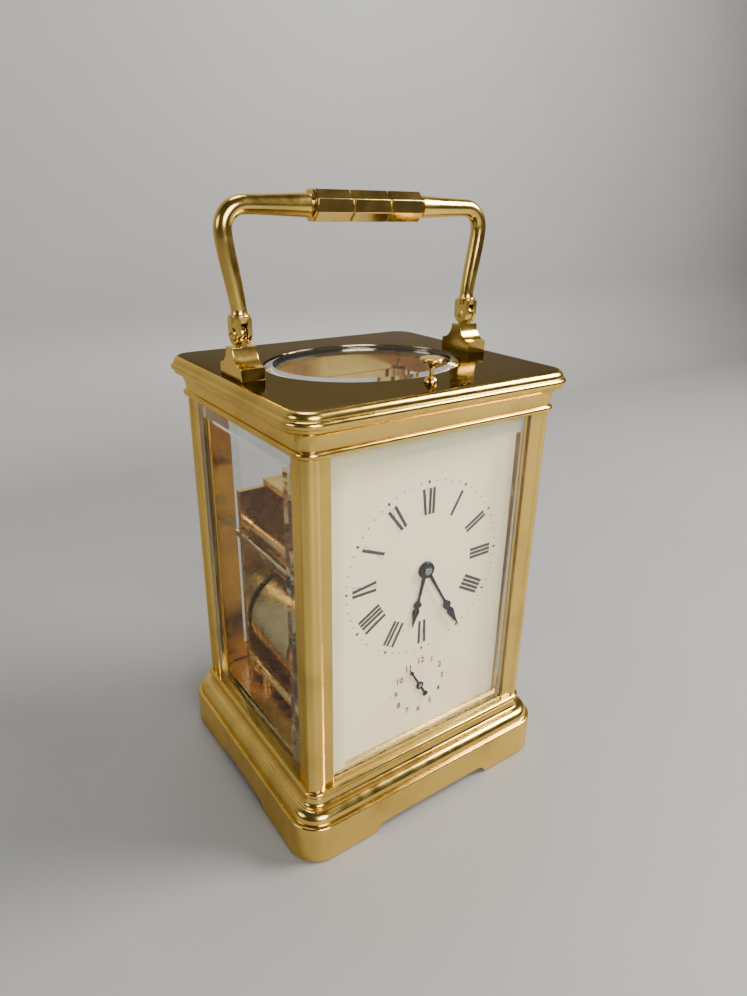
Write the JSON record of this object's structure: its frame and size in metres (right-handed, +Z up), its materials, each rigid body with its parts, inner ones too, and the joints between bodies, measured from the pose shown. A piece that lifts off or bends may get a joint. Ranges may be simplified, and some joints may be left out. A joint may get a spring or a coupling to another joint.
{
  "type": "mantel clock",
  "caption": "Brass carriage clock with a folding top handle, bevelled glass panels, white dial with Roman numerals, small alarm dial and repeat button.",
  "frame": {"origin": "middle of the footprint, on the surface the clock stands on", "axes": "+Z up, -Y out of the dial, +X to the right of someone facing the dial"},
  "size_m": [0.0966, 0.0872, 0.1841],
  "materials": {
    "case_brass": "polished and lacquered",
    "trim_brass": "turned and polished",
    "glass": "clear with ground bevels",
    "enamel": "glossy white fired glaze",
    "blued_steel": "polished, heat blued",
    "plate_brass": "fine grained",
    "barrel_brass": "turned, silvery",
    "wheel_brass": "cut and polished",
    "steel": "polished",
    "spring_steel": "tempered"
  },
  "bodies": {
    "clock_frame": {"base": "case_brass", "bottom_plate": "case_brass", "pillar_front_left": "case_brass", "pillar_front_right": "case_brass", "pillar_rear_left": "case_brass", "pillar_rear_right": "case_brass", "top_frame": "case_brass", "top_glass": "glass", "front_glass": "glass", "left_glass": "glass", "right_glass": "glass", "door_hinge_pins": "steel", "case_screws": "steel", "bracket_left": "case_brass", "bracket_right": "case_brass", "button_bush": "trim_brass", "dial": "enamel", "front_plate": "plate_brass", "back_plate": "plate_brass", "movement_pillars": "plate_brass", "plate_screws": "steel", "hairspring": "blued_steel", "balance_cock": "plate_brass", "escape_cock": "plate_brass", "platform": "plate_brass", "gong": "spring_steel"},
    "handle": {"handle_arm_left": "case_brass", "handle_arm_right": "case_brass", "handle_grip": "case_brass", "handle_pivot_screws": "trim_brass"},
    "rear_door": {"door_frame": "case_brass", "door_glass": "glass", "door_knob": "trim_brass"},
    "button": {"repeat_button": "trim_brass"},
    "lever": {"repeat_lever": "steel"},
    "minute": {"centre_arbor": "wheel_brass", "minute_hand": "blued_steel", "hand_collet": "trim_brass"},
    "motion_wheel": {"minute_wheel": "wheel_brass"},
    "hour": {"hour_wheel": "wheel_brass", "hour_hand": "blued_steel"},
    "alarm": {"alarm_arbor": "steel", "alarm_hand": "blued_steel"},
    "intermediate": {"intermediate_wheel": "wheel_brass"},
    "going_drum": {"going_barrel": "barrel_brass", "going_mainspring": "spring_steel"},
    "going_winding": {"going_arbor": "steel"},
    "going_pawl": {"going_click": "steel"},
    "third": {"third_wheel": "wheel_brass"},
    "contrate": {"contrate_wheel": "wheel_brass"},
    "escape": {"escape_wheel": "wheel_brass"},
    "pallets": {"pallet_lever": "steel"},
    "balance": {"balance_wheel": "wheel_brass"},
    "strike_drum": {"strike_barrel": "barrel_brass", "strike_mainspring": "spring_steel"},
    "strike_winding": {"strike_arbor": "steel"},
    "strike_pawl": {"strike_click": "steel"},
    "strike_train": {"strike_wheel": "wheel_brass"},
    "fly_vane": {"fly": "wheel_brass"},
    "hammer_arm": {"hammer": "steel"}
  },
  "joints": [
    {"name": "handle_fold", "type": "hinge", "parent": "clock_frame", "child": "handle", "pos_m": [0, 0, 0.1487], "axis": [1, 0, 0], "range_deg": [-80, 90]},
    {"name": "rear_door_hinge", "type": "hinge", "parent": "clock_frame", "child": "rear_door", "pos_m": [0.03305, 0.036, 0.073], "axis": [0, 0, -1], "range_deg": [0, 110]},
    {"name": "button_push", "type": "slide", "parent": "clock_frame", "child": "button", "axis": [0, 0, -1], "range_m": [0, 0.002], "stiffness_N_per_m": 200, "springref_m": -0.001},
    {"name": "lever_rock", "type": "hinge", "parent": "clock_frame", "child": "lever", "pos_m": [0.011, -0.0237, 0.093], "axis": [0, -1, 0], "range_deg": [0, 10.5]},
    {"name": "minute_turn", "type": "hinge", "parent": "clock_frame", "child": "minute", "pos_m": [0, -0.02, 0.0818], "axis": [0, 1, 0], "continuous": true},
    {"name": "motion_wheel_turn", "type": "hinge", "parent": "clock_frame", "child": "motion_wheel", "pos_m": [0.00302, -0.024, 0.07656], "axis": [0, 1, 0], "continuous": true},
    {"name": "hour_turn", "type": "hinge", "parent": "clock_frame", "child": "hour", "pos_m": [0, -0.026, 0.0818], "axis": [0, 1, 0], "continuous": true},
    {"name": "intermediate_turn", "type": "hinge", "parent": "clock_frame", "child": "intermediate", "pos_m": [0.0067, 0, 0.07066], "axis": [0, 1, 0], "continuous": true},
    {"name": "going_barrel_turn", "type": "hinge", "parent": "clock_frame", "child": "going_drum", "pos_m": [0.01558, 0, 0.05587], "axis": [0, 1, 0], "continuous": true},
    {"name": "third_turn", "type": "hinge", "parent": "clock_frame", "child": "third", "pos_m": [-0.0102, 0, 0.07809], "axis": [0, 1, 0], "continuous": true},
    {"name": "contrate_turn", "type": "hinge", "parent": "clock_frame", "child": "contrate", "pos_m": [-0.01319, 0, 0.08631], "axis": [0, 1, 0], "continuous": true},
    {"name": "escape_turn", "type": "hinge", "parent": "clock_frame", "child": "escape", "pos_m": [-0.01319, 0.00763, 0.095], "axis": [0, 0, 1], "continuous": true},
    {"name": "pallet_rock", "type": "hinge", "parent": "clock_frame", "child": "pallets", "pos_m": [-0.00679, 0.00763, 0.099], "axis": [0, 0, 1], "range_deg": [-5, 5]},
    {"name": "balance_swing", "type": "hinge", "parent": "clock_frame", "child": "balance", "pos_m": [-0.00059, 0.00763, 0.103], "axis": [0, 0, 1], "range_deg": [-150, 150]},
    {"name": "alarm_set", "type": "hinge", "parent": "clock_frame", "child": "alarm", "pos_m": [0, -0.023, 0.04], "axis": [0, 1, 0], "continuous": true},
    {"name": "going_wind", "type": "hinge", "parent": "clock_frame", "child": "going_winding", "pos_m": [0.01558, 0.023, 0.05587], "axis": [0, 1, 0], "continuous": true},
    {"name": "going_click_lift", "type": "hinge", "parent": "clock_frame", "child": "going_pawl", "pos_m": [0.02318, 0.0235, 0.06207], "axis": [0, 1, 0], "range_deg": [0, 12]},
    {"name": "strike_turn", "type": "hinge", "parent": "clock_frame", "child": "strike_train", "pos_m": [-0.02195, -0.013, 0.06358], "axis": [0, 1, 0], "continuous": true},
    {"name": "strike_barrel_turn", "type": "hinge", "parent": "clock_frame", "child": "strike_drum", "pos_m": [-0.0172, 0, 0.047], "axis": [0, 1, 0], "continuous": true},
    {"name": "fly_turn", "type": "hinge", "parent": "clock_frame", "child": "fly_vane", "pos_m": [-0.02456, 0, 0.07212], "axis": [0, 1, 0], "continuous": true},
    {"name": "strike_wind", "type": "hinge", "parent": "clock_frame", "child": "strike_winding", "pos_m": [-0.0172, 0.023, 0.047], "axis": [0, 1, 0], "continuous": true},
    {"name": "strike_click_lift", "type": "hinge", "parent": "clock_frame", "child": "strike_pawl", "pos_m": [-0.0096, 0.0235, 0.0532], "axis": [0, 1, 0], "range_deg": [0, 12]},
    {"name": "hammer_swing", "type": "hinge", "parent": "clock_frame", "child": "hammer_arm", "pos_m": [-0.0306, 0.029, 0.0765], "axis": [0, -1, 0], "range_deg": [0, 15]}
  ],
  "couplings": [
    {"joint": "motion_wheel_turn", "follows": "minute_turn", "ratio": -0.33333},
    {"joint": "hour_turn", "follows": "minute_turn", "ratio": 0.083333},
    {"joint": "intermediate_turn", "follows": "minute_turn", "ratio": -0.16667},
    {"joint": "going_barrel_turn", "follows": "minute_turn", "ratio": 0.02193},
    {"joint": "third_turn", "follows": "minute_turn", "ratio": -8},
    {"joint": "escape_turn", "follows": "contrate_turn", "ratio": 10},
    {"joint": "strike_barrel_turn", "follows": "strike_turn", "ratio": -0.13158},
    {"joint": "fly_turn", "follows": "strike_turn", "ratio": -9.1429},
    {"joint": "lever_rock", "follows": "button_push", "rad_per_m": 89.884}
  ]
}
